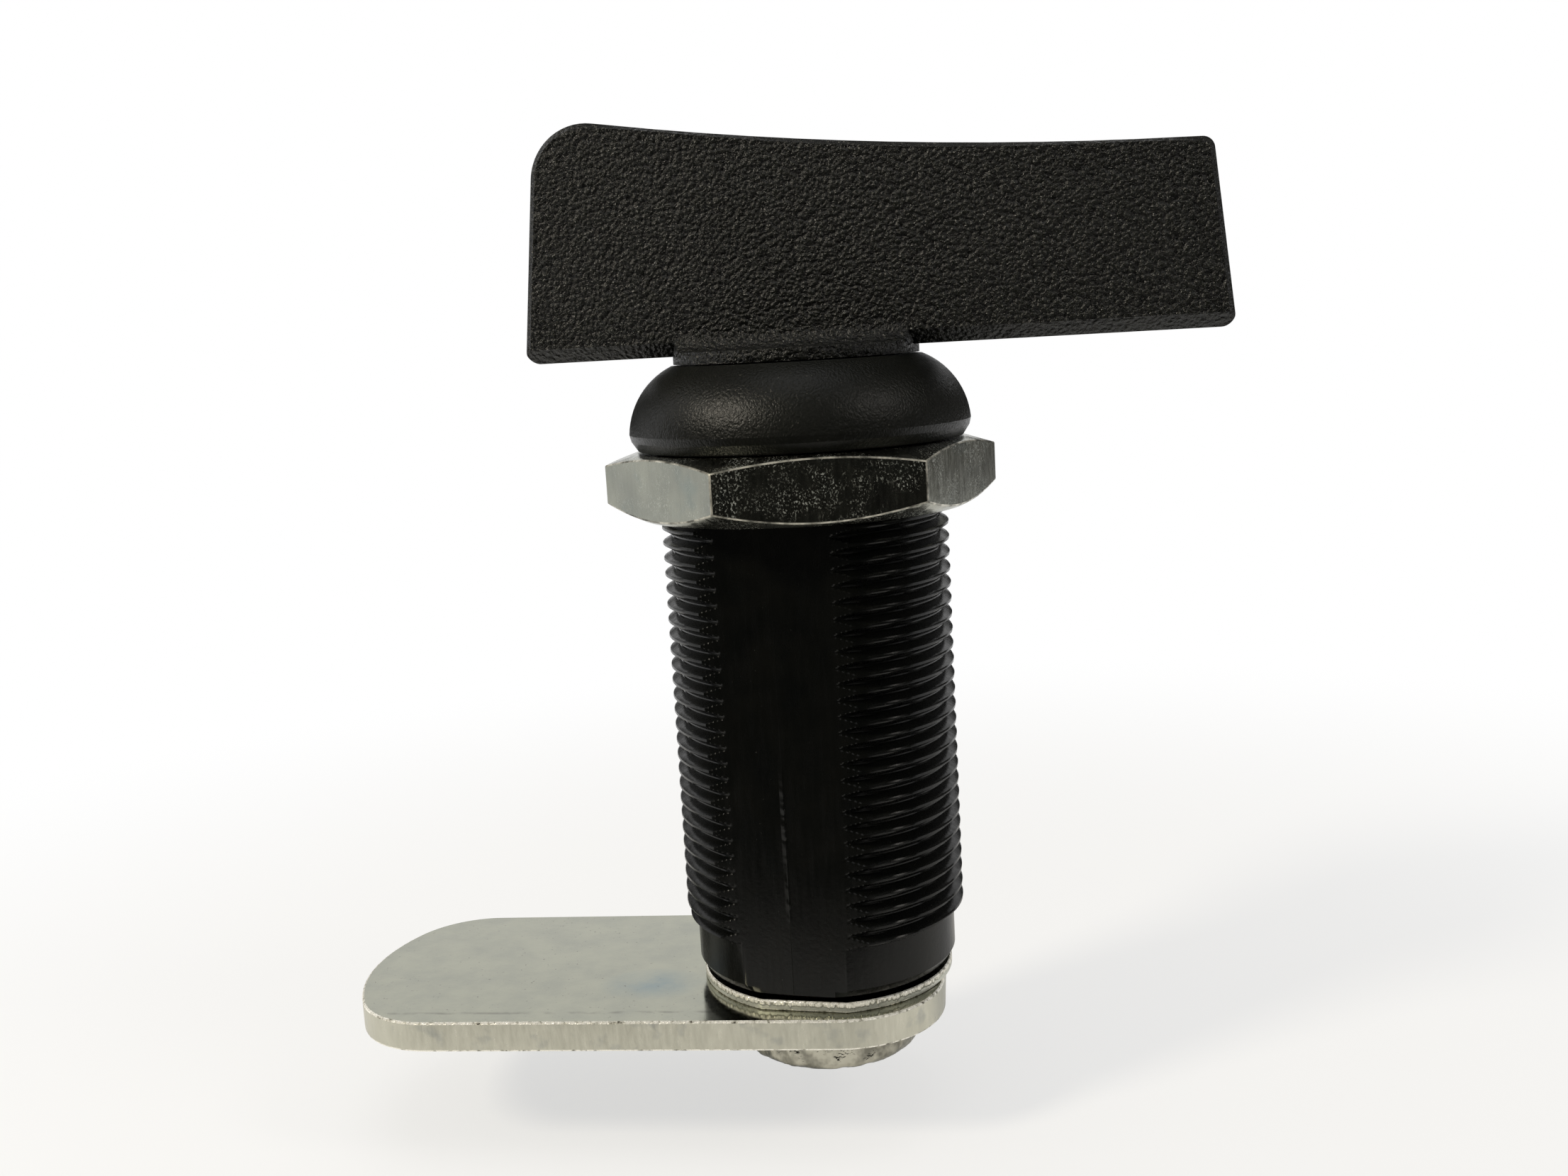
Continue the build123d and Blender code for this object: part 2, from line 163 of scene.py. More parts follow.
# ------------------------------------------------------------ how CAD nodes get their rounded skins
WELD_DISTANCE = 0.001 * MM
SAME_PLANE = radians(0.5)       # faces that meet at less than this are one
UPRIGHT = 0.5                   # a side is upright where its normal's Z is below this
SHARP = 30                      # degrees at which faces meet, from which an edge is rounded
SHARP_ON_WING = 35
SHARP_ON_NUT = 40
SKIN_SEGMENTS = 2
SKIN_SMOOTH = 26                # degrees up to which the shading runs on over an edge
BARREL_SMOOTH = 18
SCREW_SMOOTH = 40
WING_ROUND = 0.24 * MM
NUT_ROUND = 0.10 * MM
CAM_ROUND = 0.17 * MM
WASHER_ROUND = 0.14 * MM
BIG_FACE = 60 * MM ** 2
BIG_MANY_SIDED_FACE = 2 * MM ** 2


# ------------------------------------------------------------ mesh helpers
def ride_as(name, mesh, body, node, materials):
    """An object of the mesh that rides on a body and stands for the CAD node it replaces."""
    made = bpy.data.objects.new(name, mesh)
    bpy.context.scene.collection.objects.link(made)
    for material in materials:
        mesh.materials.append(material)
    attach(made, body)
    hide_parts(node)
    return made


def smooth(made, angle):
    """Smooth shading, with the edges sharper than the angle in degrees kept crisp."""
    made.data.shade_smooth()
    made.data.set_sharp_from_angle(angle=radians(angle))


def rings_to_faces(rows, columns):
    """Quads between rings of points, closed round and from the last ring to the first."""
    faces = []
    for row in range(rows):
        above = (row + 1) % rows
        for column in range(columns):
            beside = (column + 1) % columns
            faces.append((
                row * columns + column,
                row * columns + beside,
                above * columns + beside,
                above * columns + column,
            ))
    return faces


def skin(node, name, body, materials, width, angle=SHARP):
    """A copy of a CAD node with its sharp edges rounded, standing for the node.

    Its materials are for its faces, then its rounded edges and its upright
    sides where they differ. Its big faces are shaded flat, so that the rounded
    edges don't bend what they mirror.
    """
    edge_material = 1 if len(materials) > 1 else -1
    side_material = 2 if len(materials) > 2 else 0
    form = bmesh.new()
    form.from_mesh(NODES[node].data)
    bmesh.ops.remove_doubles(form, verts=form.verts, dist=WELD_DISTANCE)
    bmesh.ops.dissolve_limit(form, angle_limit=SAME_PLANE, verts=form.verts, edges=form.edges)
    for face in form.faces:
        upright = abs(face.normal.z) < UPRIGHT
        face.material_index = side_material if upright else 0
    sharp = [e for e in form.edges if len(e.link_faces) == 2 and e.calc_face_angle() > radians(angle)]
    bmesh.ops.bevel(
        form, geom=sharp, offset=width, segments=SKIN_SEGMENTS, profile=0.5, affect="EDGES",
        clamp_overlap=True, material=edge_material)
    mesh = bpy.data.meshes.new(name)
    form.to_mesh(mesh)
    form.free()
    made = ride_as(name, mesh, body, node, materials)
    smooth(made, SKIN_SMOOTH)
    for face in mesh.polygons:
        many_sided = len(face.vertices) > 4
        big = face.area > BIG_FACE or (many_sided and face.area > BIG_MANY_SIDED_FACE)
        face.use_smooth = not big
    return made


def share_of(value):
    """The value, kept from 0 to 1."""
    return min(1.0, max(0.0, value))


def lumps(point):
    """Smooth noise about 0 at a point, with lumps about 1 across."""
    return fractal(point, FRACTAL_FALL, FRACTAL_STEP, FRACTAL_LAYERS)


# ------------------------------------------------------------ barrel with its thread and flange
def spread(low, high, step):
    """Evenly spaced values from low up to but not including high, about a step apart."""
    count = max(1, round((high - low) / step))
    return [low + (high - low) * i / count for i in range(count)]


def barrel_angles():
    """Angles round the barrel in radians, through the back flat's middle and then the front one's."""
    angles = []
    for middle in (90, 270):
        for start, end, step in STRETCHES:
            angles += spread(middle + start, middle + end, step)
    return [radians(a) for a in angles]


def thread_height(level, angle):
    """0 at the thread's root and 1 at its crest, with a narrow land on each."""
    turn = level / THREAD_PITCH - angle / (2 * pi)
    saw = turn - floor(turn)
    peak = 1 - abs(2 * saw - 1)
    ridge = share_of((peak - ROOT_LAND) / FLANK_SHARE)
    run_out = share_of((level - THREAD_END) / THREAD_RUN_OUT)
    return ridge * run_out


def flash_height(level, side, middle):
    """Height of the ragged flash, side degrees past the parting line of the flat whose middle is given."""
    reach = min(1.0, FLASH_FADE * max(0.0, 1 - abs(level - FLASH_LEVEL) / FLASH_REACH))
    ragged = FLASH_MIDDLE + FLASH_SWING * lumps(Vector((level / FLASH_GRAIN, 0, middle)))
    width = WIDTH_BEFORE if side < 0 else WIDTH_AFTER
    return max(0.0, 1 - abs(side) / width) * reach * max(FLASH_LEAST, ragged) * FLASH_HEIGHT


def flat_limit(level, angle):
    """How far out a flat lets the barrel reach, with its parting ridge and the ragged flash on it."""
    across = abs(sin(angle))
    if across < BESIDE_FLATS:
        return NO_LIMIT
    middle = 1.5 * pi if sin(angle) < 0 else 0.5 * pi
    side = degrees(angle - middle - PARTING_TURN)
    draft = DRAFT * abs(side) * FLAT_DISTANCE if side < 0 else 0.0
    line = max(0.0, 1 - abs(side) / PARTING_WIDTH) * (LOW_RIDGE if level < FLASH_LEVEL else HIGH_RIDGE)
    return FLAT_DISTANCE / across + max(line, flash_height(level, side, middle)) - draft


def barrel_radius(level, angle):
    """How far out the barrel reaches below its flange."""
    if level > THREAD_END:
        radius = THREAD_RADIUS - THREAD_DEPTH * (1 - thread_height(level, angle))
    elif level > NOSE_START:
        radius = RELIEF_RADIUS
    else:
        share = (level - BARREL_END) / (NOSE_START - BARREL_END)
        radius = NOSE_RADIUS + share * (RELIEF_RADIUS - NOSE_RADIUS)
    return min(radius, flat_limit(level, angle))


def crown_profile(count):
    """Points (radius, level) along the flange's domed edge, from its widest to its top."""
    start = Vector((FLANGE_RADIUS, FLANGE_WIDEST))
    end = Vector((CROWN_RADIUS, FLANGE_TOP))
    middle = (start + end) / 2
    half = (end - start).length / 2
    inward = Vector((start.y - end.y, end.x - start.x)).normalized()
    centre = middle + inward * (CROWN_CURVE ** 2 - half ** 2) ** 0.5
    first = atan2(start.y - centre.y, start.x - centre.x)
    last = atan2(end.y - centre.y, end.x - centre.x)
    points = []
    for i in range(count + 1):
        a = first + (last - first) * i / count
        points.append((centre.x + CROWN_CURVE * cos(a), centre.y + CROWN_CURVE * sin(a)))
    return points


def barrel_rings(angles):
    """Rings of (radius, level), one for each angle: up the outside, then over the flange to the bore."""
    rows = int(-THREAD_END / THREAD_PITCH * THREAD_ROWS)
    thread_levels = [THREAD_END * (1 - i / rows) for i in range(rows + 1)]
    shaped_levels = [BARREL_END, NOSE_START - NOSE_EDGE, NOSE_START, THREAD_END - RELIEF_GAP]
    rings = [[(BORE_RADIUS, BARREL_END)] * len(angles)]
    for level in shaped_levels + thread_levels:
        rings.append([(barrel_radius(level, a), level) for a in angles])
    for radius, level in (*FLANGE_FOOT, *crown_profile(CROWN_POINTS), *FLANGE_MOUTH):
        rings.append([(radius, level)] * len(angles))
    return rings


def make_barrel(barrel_material, flange_material):
    """The barrel with its real thread; the flange above the seat has a finish of its own."""
    angles = barrel_angles()
    rings = barrel_rings(angles)
    vertices = []
    for ring in rings:
        for angle, (radius, level) in zip(angles, ring):
            vertices.append((radius * cos(angle), radius * sin(angle), level))
    mesh = bpy.data.meshes.new("threaded_barrel")
    mesh.from_pydata(vertices, [], rings_to_faces(len(rings), len(angles)))
    mesh.update()
    made = ride_as(
        "threaded_barrel", mesh, "housing", "housing", [barrel_material, flange_material])
    for face in mesh.polygons:
        face.material_index = 1 if face.center.z > ABOVE_SEAT else 0
    smooth(made, BARREL_SMOOTH)


# ------------------------------------------------------------ screw with its rough round head
def recess_radius(angle):
    """Distance out to the wall of the six-sided recess at an angle."""
    sixth = pi / 3
    return RECESS_WIDTH / 2 / cos((angle % sixth) - sixth / 2)


def head_profile(count):
    """Points (radius, level) up the head's side, from its lower face to its top edge."""
    points = []
    for i in range(count + 1):
        turn = pi / 2 * i / count
        radius = HEAD_RADIUS - HEAD_ROUND * (1 - sin(turn))
        points.append((radius, HEAD_BOTTOM + HEAD_ROUND * (1 - cos(turn))))
    for i in range(1, count + 1):
        level = HEAD_BOTTOM + HEAD_ROUND + (HEAD_TOP - HEAD_BOTTOM - HEAD_ROUND) * i / count
        points.append((HEAD_RADIUS, level))
    return points


def screw_rings(angles):
    """Rings of (radius, level) in three lists: the recess, the rough head and the shank."""
    def even(radius, level):
        return [(radius, level)] * len(angles)

    floor_level = HEAD_BOTTOM + RECESS_DEPTH
    recess = [even(POINT_RADIUS, floor_level)]
    for level in (floor_level, HEAD_BOTTOM + RECESS_BEVEL):
        recess.append([(recess_radius(a), level) for a in angles])
    recess.append([(recess_radius(a) + RECESS_BEVEL, HEAD_BOTTOM) for a in angles])
    inner = RECESS_WIDTH / 2 + RECESS_RIM
    outer = HEAD_RADIUS - HEAD_ROUND
    head = [even(inner + (outer - inner) * i / FACE_RINGS, HEAD_BOTTOM) for i in range(FACE_RINGS)]
    head += [even(radius, level) for radius, level in head_profile(SIDE_RINGS)]
    shank = [even(SHANK_RADIUS, HEAD_TOP), even(SHANK_RADIUS, SCREW_END), even(POINT_RADIUS, SCREW_END)]
    return recess, head, shank


def dented(point):
    """A point of the head's surface, pressed in a little by the roughness of its plating."""
    inside = Vector((0, 0, DENTS_POINT_TO))
    depth = DENT_DEPTH * (0.5 + 0.5 * lumps(point / DENT_SIZE))
    return point + (inside - point).normalized() * max(0.0, depth)


def make_screw(material):
    """The cam's screw, with dents in its head."""
    angles = [2 * pi * i / SCREW_COLUMNS for i in range(SCREW_COLUMNS)]
    recess, head, shank = screw_rings(angles)
    vertices = []
    for rings, rough in ((recess, False), (head, True), (shank, False)):
        for ring in rings:
            for angle, (radius, level) in zip(angles, ring):
                point = Vector((radius * cos(angle), radius * sin(angle), level))
                vertices.append(dented(point) if rough else point)
    rows = len(recess) + len(head) + len(shank)
    mesh = bpy.data.meshes.new("screw_head")
    mesh.from_pydata(vertices, [], rings_to_faces(rows, SCREW_COLUMNS))
    mesh.update()
    made = ride_as("screw_head", mesh, "shaft", "cam_screw", [material])
    smooth(made, SCREW_SMOOTH)


# ------------------------------------------------------------ materials
class Tree:
    """A short way to write a node tree."""

    def __init__(self, tree):
        self.tree = tree

    def add(self, kind, **settings):
        """A new node with its settings."""
        node = self.tree.nodes.new(kind)
        for key, value in settings.items():
            setattr(node, key, value)
        return node

    def link(self, source, target):
        """Joins an output to an input."""
        self.tree.links.new(source, target)

    def maths(self, operation, first, second=0.0):
        """The result of an operation on two numbers or outputs."""
        node = self.add("ShaderNodeMath", operation=operation)
        for socket, value in zip(node.inputs, (first, second)):
            if isinstance(value, (int, float)):
                socket.default_value = value
            else:
                self.link(value, socket)
        return node.outputs[0]

    def blend(self, factor, first, second):
        """A shader that goes from the first to the second as the factor goes from 0 to 1."""
        node = self.add("ShaderNodeMixShader")
        for socket, source in zip(node.inputs, (factor, first.outputs[0], second.outputs[0])):
            self.link(source, socket)
        return node.outputs[0]


class Nodes(Tree):
    """A short way to write a material, from its Principled shader back."""

    def __init__(self, name):
        self.material = bpy.data.materials.new(name)
        self.material.use_nodes = True
        super().__init__(self.material.node_tree)
        self.shader = self.tree.nodes["Principled BSDF"]
        self.where = self.add("ShaderNodeTexCoord").outputs["Object"]

    def mapped(self, setting, value):
        """Object coordinates with one setting of a Mapping node."""
        mapping = self.add("ShaderNodeMapping")
        mapping.inputs[setting].default_value = value
        self.link(self.where, mapping.inputs["Vector"])
        return mapping.outputs["Vector"]

    def stretched(self, factors):
        """Object coordinates scaled along X, Y and Z."""
        return self.mapped("Scale", factors)

    def turned(self, angle):
        """Object coordinates turned about Z."""
        return self.mapped("Rotation", (0, 0, angle))

    def parted(self, where):
        """The X, Y and Z of coordinates, as outputs by name."""
        node = self.add("ShaderNodeSeparateXYZ")
        self.link(where, node.inputs[0])
        return node.outputs

    def noise(self, size, detail=3.0, rough=0.55, where=None):
        """Cloudy noise whose lumps are about size metres across."""
        node = self.add("ShaderNodeTexNoise")
        node.inputs["Scale"].default_value = 1 / size
        node.inputs["Detail"].default_value = detail
        node.inputs["Roughness"].default_value = rough
        self.link(where or self.where, node.inputs["Vector"])
        return node.outputs["Fac"]

    def cells(self, size):
        """Distance to the middle of soft-edged cells about size metres across."""
        node = self.add("ShaderNodeTexVoronoi", feature="SMOOTH_F1")
        node.inputs["Scale"].default_value = 1 / size
        self.link(self.where, node.inputs["Vector"])
        return node.outputs["Distance"]

    def ramp(self, value, stops):
        """Colours or greys at places from 0 to 1 along a value."""
        node = self.add("ShaderNodeValToRGB")
        elements = node.color_ramp.elements
        while len(elements) < len(stops):
            elements.new(0.5)
        for element, (place, colour) in zip(elements, stops):
            element.position = place
            grey = isinstance(colour, (int, float))
            element.color = (colour, colour, colour, 1) if grey else (*colour, 1)
        self.link(value, node.inputs["Fac"])
        return node.outputs["Color"]

    def near(self, place, radii, inner, outer, where):
        """1 near a place and 0 beyond, over an ellipsoid's reach."""
        shift = self.add("ShaderNodeVectorMath", operation="SUBTRACT")
        self.link(where, shift.inputs[0])
        shift.inputs[1].default_value = place
        scale = self.add("ShaderNodeVectorMath", operation="DIVIDE")
        self.link(shift.outputs[0], scale.inputs[0])
        scale.inputs[1].default_value = radii
        return self.ramp(self.length(scale.outputs[0]), [(inner, 1.0), (outer, 0.0)])

    def length(self, vector):
        """How long a vector is."""
        node = self.add("ShaderNodeVectorMath", operation="LENGTH")
        self.link(vector, node.inputs[0])
        return node.outputs["Value"]

    def mix(self, factor, first, second):
        """A colour that goes from the first to the second as the factor goes from 0 to 1."""
        node = self.add("ShaderNodeMix", data_type="RGBA")
        colour_mix = (node.inputs[0], node.inputs[6], node.inputs[7])
        for socket, value in zip(colour_mix, (factor, first, second)):
            self.fill(socket, value)
        return node.outputs[2]

    def bump(self, height, depth, under=None):
        """Surface relief of a height map whose full swing is depth metres, on top of another relief."""
        node = self.add("ShaderNodeBump")
        node.inputs["Strength"].default_value = 1.0
        node.inputs["Distance"].default_value = depth
        self.link(height, node.inputs["Height"])
        if under is not None:
            self.link(under, node.inputs["Normal"])
        return node.outputs["Normal"]

    def fill(self, socket, value):
        """Sets a socket to a number or colour, or links an output to it."""
        if isinstance(value, tuple):
            socket.default_value = (*value, 1)
        elif isinstance(value, (int, float)):
            socket.default_value = value
        else:
            self.link(value, socket)

    def set(self, **values):
        """Fills the shader's own sockets; names use _ for a space."""
        for key, value in values.items():
            self.fill(self.shader.inputs[key.replace("_", " ")], value)


def dust(n, size, low, high):
    """Sparse small specks, as a mask that rises from 0 to 1 between two places of the noise."""
    return n.ramp(n.noise(size, detail=1.0), [(low, 0.0), (high, 1.0)])


def black_barrel_material():
    """Smooth glossy black coat with faint streaks and a little dust."""
    n = Nodes("black_barrel")
    streaks = n.noise(0.5 * MM, where=n.stretched((1, 1, 0.12)))
    deep, faded, dust_grey = (0.0016, 0.0020, 0.0018), (0.0036, 0.0037, 0.0030), (0.10, 0.10, 0.09)
    coat = n.ramp(n.noise(3.0 * MM), [(0.3, deep), (0.75, faded)])
    n.set(
        Base_Color=n.mix(dust(n, 0.14 * MM, 0.79, 0.83), coat, dust_grey),
        Roughness=n.ramp(streaks, [(0.3, 0.20), (0.75, 0.32)]),
        Specular_IOR_Level=0.24,
        Normal=n.bump(n.noise(0.35 * MM), 0.010 * MM),
    )
    return n.material


def flange_material():
    """Satin black with a fine leathery skin."""
    n = Nodes("black_flange")
    skin_lumps = n.noise(0.17 * MM, detail=2.0, where=n.stretched((1, 1, 0.8)))
    deep, faded, dust_grey = (0.0030, 0.0034, 0.0024), (0.0052, 0.0056, 0.0040), (0.09, 0.085, 0.07)
    coat = n.ramp(n.noise(4.0 * MM), [(0.3, deep), (0.7, faded)])
    n.set(
        Base_Color=n.mix(dust(n, 0.15 * MM, 0.76, 0.80), coat, dust_grey),
        Roughness=n.ramp(skin_lumps, [(0.35, 0.28), (0.65, 0.40)]),
        Specular_IOR_Level=0.26,
        Normal=n.bump(skin_lumps, 0.06 * MM),
    )
    return n.material


def wing_material():
    """Coarse pebbled black coat that sparkles, with painted shade darkening the hollows of its grain."""
    n = Nodes("black_wing")
    pebbles = n.cells(0.31 * MM)
    grit = n.noise(0.20 * MM, detail=2.0, rough=0.6)
    height = n.maths("SUBTRACT", n.maths("MULTIPLY", grit, 0.7), n.maths("MULTIPLY", pebbles, 0.9))
    # painted shade: the coat's colour follows the grain's height, darker down in its hollows than on its
    # crests
    painted_shade_hollow, crest, dust_grey = (0.0005, 0.0006, 0.0004), (0.0056, 0.0060, 0.0042), (0.12, 0.11, 0.09)
    coat = n.ramp(n.maths("ADD", height, 0.4), [(0.22, painted_shade_hollow), (0.5, crest)])
    n.set(
        Base_Color=n.mix(dust(n, 0.16 * MM, 0.79, 0.83), coat, dust_grey),
        Roughness=n.ramp(grit, [(0.4, 0.40), (0.66, 0.19)]),
        Specular_IOR_Level=0.42,
        Normal=n.bump(height, 0.22 * MM),
    )
    return n.material


def tinted(colour, shares):
    """A colour with each of its three parts multiplied by a share."""
    return tuple(part * share for part, share in zip(colour, shares))


def nut_material():
    """Bright smooth cloudy zinc, some of it bluish, with dull specks and fine scratches."""
    n = Nodes("zinc_nut")
    zinc, speck_grey = (0.285, 0.29, 0.24), (0.46, 0.48, 0.45)
    dull = tinted(zinc, (0.84, 0.85, 0.88))
    pale = tinted(zinc, (1.08, 1.08, 1.08))
    bluish = tinted(zinc, (0.55, 0.72, 0.86))
    clouds = n.ramp(n.noise(3.5 * MM, detail=2.0), [(0.3, dull), (0.7, pale)])
    stain = n.ramp(n.noise(4.55 * MM, detail=3.0), [(0.56, 0.0), (0.74, 0.5)])
    grains = n.noise(0.13 * MM, detail=3.0, rough=0.65, where=n.stretched((1, 1, 0.7)))
    specks = n.ramp(grains, [(0.55, 0.0), (0.65, 0.9)])
    patches = n.ramp(n.noise(2.2 * MM), [(0.42, 0.0), (0.62, 1.0)])
    marks = n.maths("MULTIPLY", specks, patches)
    scratches = n.noise(0.3 * MM, detail=4.0, where=n.stretched((1, 1, 0.15)))
    gloss = n.ramp(scratches, [(0.3, 0.14), (0.75, 0.3)])
    n.set(
        Base_Color=n.mix(marks, n.mix(stain, clouds, bluish), speck_grey),
        Metallic=n.maths("SUBTRACT", 1.0, n.maths("MULTIPLY", marks, 0.6)),
        Roughness=n.maths("ADD", gloss, n.maths("MULTIPLY", marks, 0.35)),
        Normal=n.bump(n.noise(0.5 * MM), 0.008 * MM),
    )
    return n.material


def cam_material():
    """Zinc on rolled strip: a mirror-like mottled face, a bluish patch, dark dots, and a broken dark line
    by the front rim that is painted shade of its rolled edge.
    """
    n = Nodes("zinc_cam")
    zinc, bluish, dot_and_painted_shade_grey = (0.365, 0.368, 0.293), (0.22, 0.27, 0.27), (0.11, 0.10, 0.085)
    dull = tinted(zinc, (0.86, 0.87, 0.9))
    clouds = n.ramp(n.noise(3.0 * MM, detail=5.0, rough=0.62), [(0.32, dull), (0.62, zinc)])
    along = n.turned(-CAM_REST_TURN)
    patch_place, patch_reach = (-13.8 * MM, -4.0 * MM, 0), (4.6 * MM, 3.2 * MM, 1.0)
    patch_grain = n.ramp(n.noise(2.2 * MM), [(0.35, 0.4), (0.6, 0.9)])
    patch = n.maths("MULTIPLY", n.near(patch_place, patch_reach, 0.2, 1.0, along), patch_grain)
    # painted shade: a broken dark line along the front rim, standing in for the shade where the rolled edge
    # turns over
    shade_line_off_middle, shade_line_width = 9.3 * MM, 0.3 * MM
    off_shade_line = n.maths("ABSOLUTE", n.maths("ADD", n.parted(along)["Y"], shade_line_off_middle))
    line = n.ramp(n.maths("DIVIDE", off_shade_line, shade_line_width), [(0.2, 1.0), (1.0, 0.0)])
    gaps = n.noise(0.8 * MM, detail=3.0, where=n.stretched((0.5, 1, 1)))
    broken = n.ramp(gaps, [(0.42, 0.0), (0.62, 0.5)])
    dots = n.ramp(n.noise(0.3 * MM, detail=2.0), [(0.25, 0.7), (0.31, 0.0)])
    # the dark dots and the painted shade line share one grey
    marks = n.maths("MAXIMUM", n.maths("MULTIPLY", line, broken), dots)
    rolled = n.noise(0.3 * MM, detail=4.0, where=n.stretched((0.3, 1, 1)))
    n.set(
        Base_Color=n.mix(marks, n.mix(patch, clouds, bluish), dot_and_painted_shade_grey),
        Metallic=1.0,
        Roughness=n.ramp(rolled, [(0.3, 0.10), (0.75, 0.17)]),
        Normal=n.bump(rolled, 0.003 * MM),
    )
    return n.material


def sheared_and_painted_light_material():
    """The cam's cut side: duller, with faint upright shear marks and stains, and paler than the top as
    painted light.
    """
    n = Nodes("zinc_sheared_and_painted_light")
    shear = n.noise(0.35 * MM, detail=3.0, where=n.stretched((1, 1, 0.2)))
    stains = n.ramp(n.noise(1.6 * MM, detail=3.0), [(0.55, 0.0), (0.72, 0.45)])
    # painted light: these greys are paler than the cam's top, for the light the side catches from the front
    # below
    dull, pale, stain_grey = (0.56, 0.555, 0.475), (0.67, 0.66, 0.57), (0.33, 0.35, 0.35)
    clouds = n.ramp(n.noise(5.0 * MM), [(0.3, dull), (0.7, pale)])
    n.set(
        Base_Color=n.mix(stains, clouds, stain_grey),
        Metallic=1.0,
        Roughness=n.ramp(shear, [(0.3, 0.26), (0.75, 0.42)]),
        Normal=n.bump(shear, 0.03 * MM),
    )
    return n.material


def washer_side_material():
    """The washer's cut edge: a smooth burnished band below, paler than the washer's top as painted light,
    and above it a torn one whose sparkle is painted glint.
    """
    n = Nodes("zinc_washer_edge")
    bottom, top = (corner.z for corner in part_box("stop_washer"))
    tears = n.noise(0.30 * MM, detail=2.0, rough=0.6, where=n.stretched((1, 1, 0.3)))
    level = n.maths("DIVIDE", n.maths("SUBTRACT", n.parted(n.where)["Z"], bottom), top - bottom)
    torn = n.ramp(n.maths("ADD", level, n.maths("MULTIPLY", tears, 0.7)), [(0.80, 0.0), (0.95, 1.0)])
    # painted light: the lower band is paler than the top for the light it catches from the front below, and
    # the torn band's near-white dashes are painted glints
    burnished_and_painted_light, pit, painted_glint = (0.70, 0.71, 0.64), (0.36, 0.35, 0.29), (1.0, 0.98, 0.88)
    n.set(
        Base_Color=n.mix(torn, burnished_and_painted_light, n.ramp(tears, [(0.38, pit), (0.52, painted_glint)])),
        Metallic=n.ramp(torn, [(0.0, 0.7), (1.0, 0.45)]),
        Roughness=n.ramp(tears, [(0.3, 0.45), (0.7, 0.25)]),
        Normal=n.bump(n.maths("MULTIPLY", tears, torn), 0.16 * MM),
    )
    return n.material


def worn_edge_and_glint_material(name, nicks):
    """Bright bare edge with small nicks, as rubbing leaves it, and short dashes of painted glint."""
    n = Nodes(name)
    wear = n.noise(0.42 * MM, detail=3.0, rough=0.6)
    # painted glint: the near-white warm dashes stand in for the lamps' glints on the edge
    bare, painted_glint = (0.46, 0.45, 0.38), (1.0, 0.98, 0.9)
    n.set(
        Base_Color=n.ramp(wear, [(0.29, nicks), (0.37, bare), (0.52, painted_glint)]),
        Metallic=0.5,
        Roughness=n.ramp(wear, [(0.4, 0.45), (0.6, 0.25)]),
        Normal=n.bump(n.noise(0.25 * MM, detail=2.0), 0.07 * MM),
    )
    return n.material


def broken_bright_edge_material():
    """The nut's edges: thin and a little brighter than its faces, in broken stretches."""
    # the edges' colour runs from dull to bright in broken stretches
    n = Nodes("broken_bright_edge")
    wear = n.noise(1.2 * MM, detail=4.0, rough=0.65)
    dull, bright = (0.10, 0.10, 0.085), (0.62, 0.60, 0.52)
    n.set(
        Base_Color=n.ramp(wear, [(0.38, dull), (0.62, bright)]),
        Metallic=0.6,
        Roughness=n.ramp(wear, [(0.4, 0.5), (0.6, 0.3)]),
        Normal=n.bump(n.noise(0.25 * MM, detail=2.0), 0.03 * MM),
    )
    return n.material


def screw_material():
    """Bright lumpy zinc whose smooth dents catch the light."""
    n = Nodes("zinc_screw")
    dents = n.bump(n.noise(1.5 * MM, detail=1.5, rough=0.4), 0.32 * MM)
    fine = n.noise(0.3 * MM, detail=2.0)
    dull, bright = (0.20, 0.195, 0.165), (0.52, 0.505, 0.43)
    n.set(
        Base_Color=n.ramp(n.noise(1.5 * MM), [(0.38, dull), (0.62, bright)]),
        Metallic=1.0,
        Roughness=n.ramp(fine, [(0.35, 0.08), (0.7, 0.18)]),
        Normal=n.bump(fine, 0.05 * MM, under=dents),
    )
    return n.material


def steel_material():
    """Turned steel with fine rings round the axis."""
    n = Nodes("steel")
    lines = n.noise(0.12 * MM, detail=2.0, where=n.stretched((0.05, 0.05, 1)))
    dull, bright = (0.44, 0.44, 0.43), (0.58, 0.58, 0.57)
    n.set(
        Base_Color=n.ramp(n.noise(2.0 * MM), [(0.3, dull), (0.7, bright)]),
        Metallic=1.0,
        Roughness=n.ramp(lines, [(0.3, 0.22), (0.7, 0.36)]),
        Normal=n.bump(lines, 0.008 * MM),
    )
    return n.material


def spring_material():
    """Dark oiled spring wire."""
    n = Nodes("spring_steel")
    oiled, bare = (0.22, 0.22, 0.22), (0.36, 0.35, 0.33)
    n.set(
        Base_Color=n.ramp(n.noise(0.8 * MM), [(0.3, oiled), (0.7, bare)]),
        Metallic=1.0,
        Roughness=n.ramp(n.noise(0.3 * MM), [(0.3, 0.28), (0.7, 0.42)]),
        Normal=n.bump(n.noise(0.25 * MM), 0.01 * MM),
    )
    return n.material


def bronze_material():
    """Sintered bronze, finely pitted."""
    n = Nodes("bronze")
    pits = n.noise(0.15 * MM, detail=3.0)
    brown, golden = (0.34, 0.22, 0.11), (0.50, 0.34, 0.18)
    n.set(
        Base_Color=n.ramp(n.noise(1.5 * MM), [(0.3, brown), (0.7, golden)]),
        Metallic=1.0,
        Roughness=n.ramp(pits, [(0.3, 0.38), (0.7, 0.55)]),
        Normal=n.bump(pits, 0.015 * MM),
    )
    return n.material


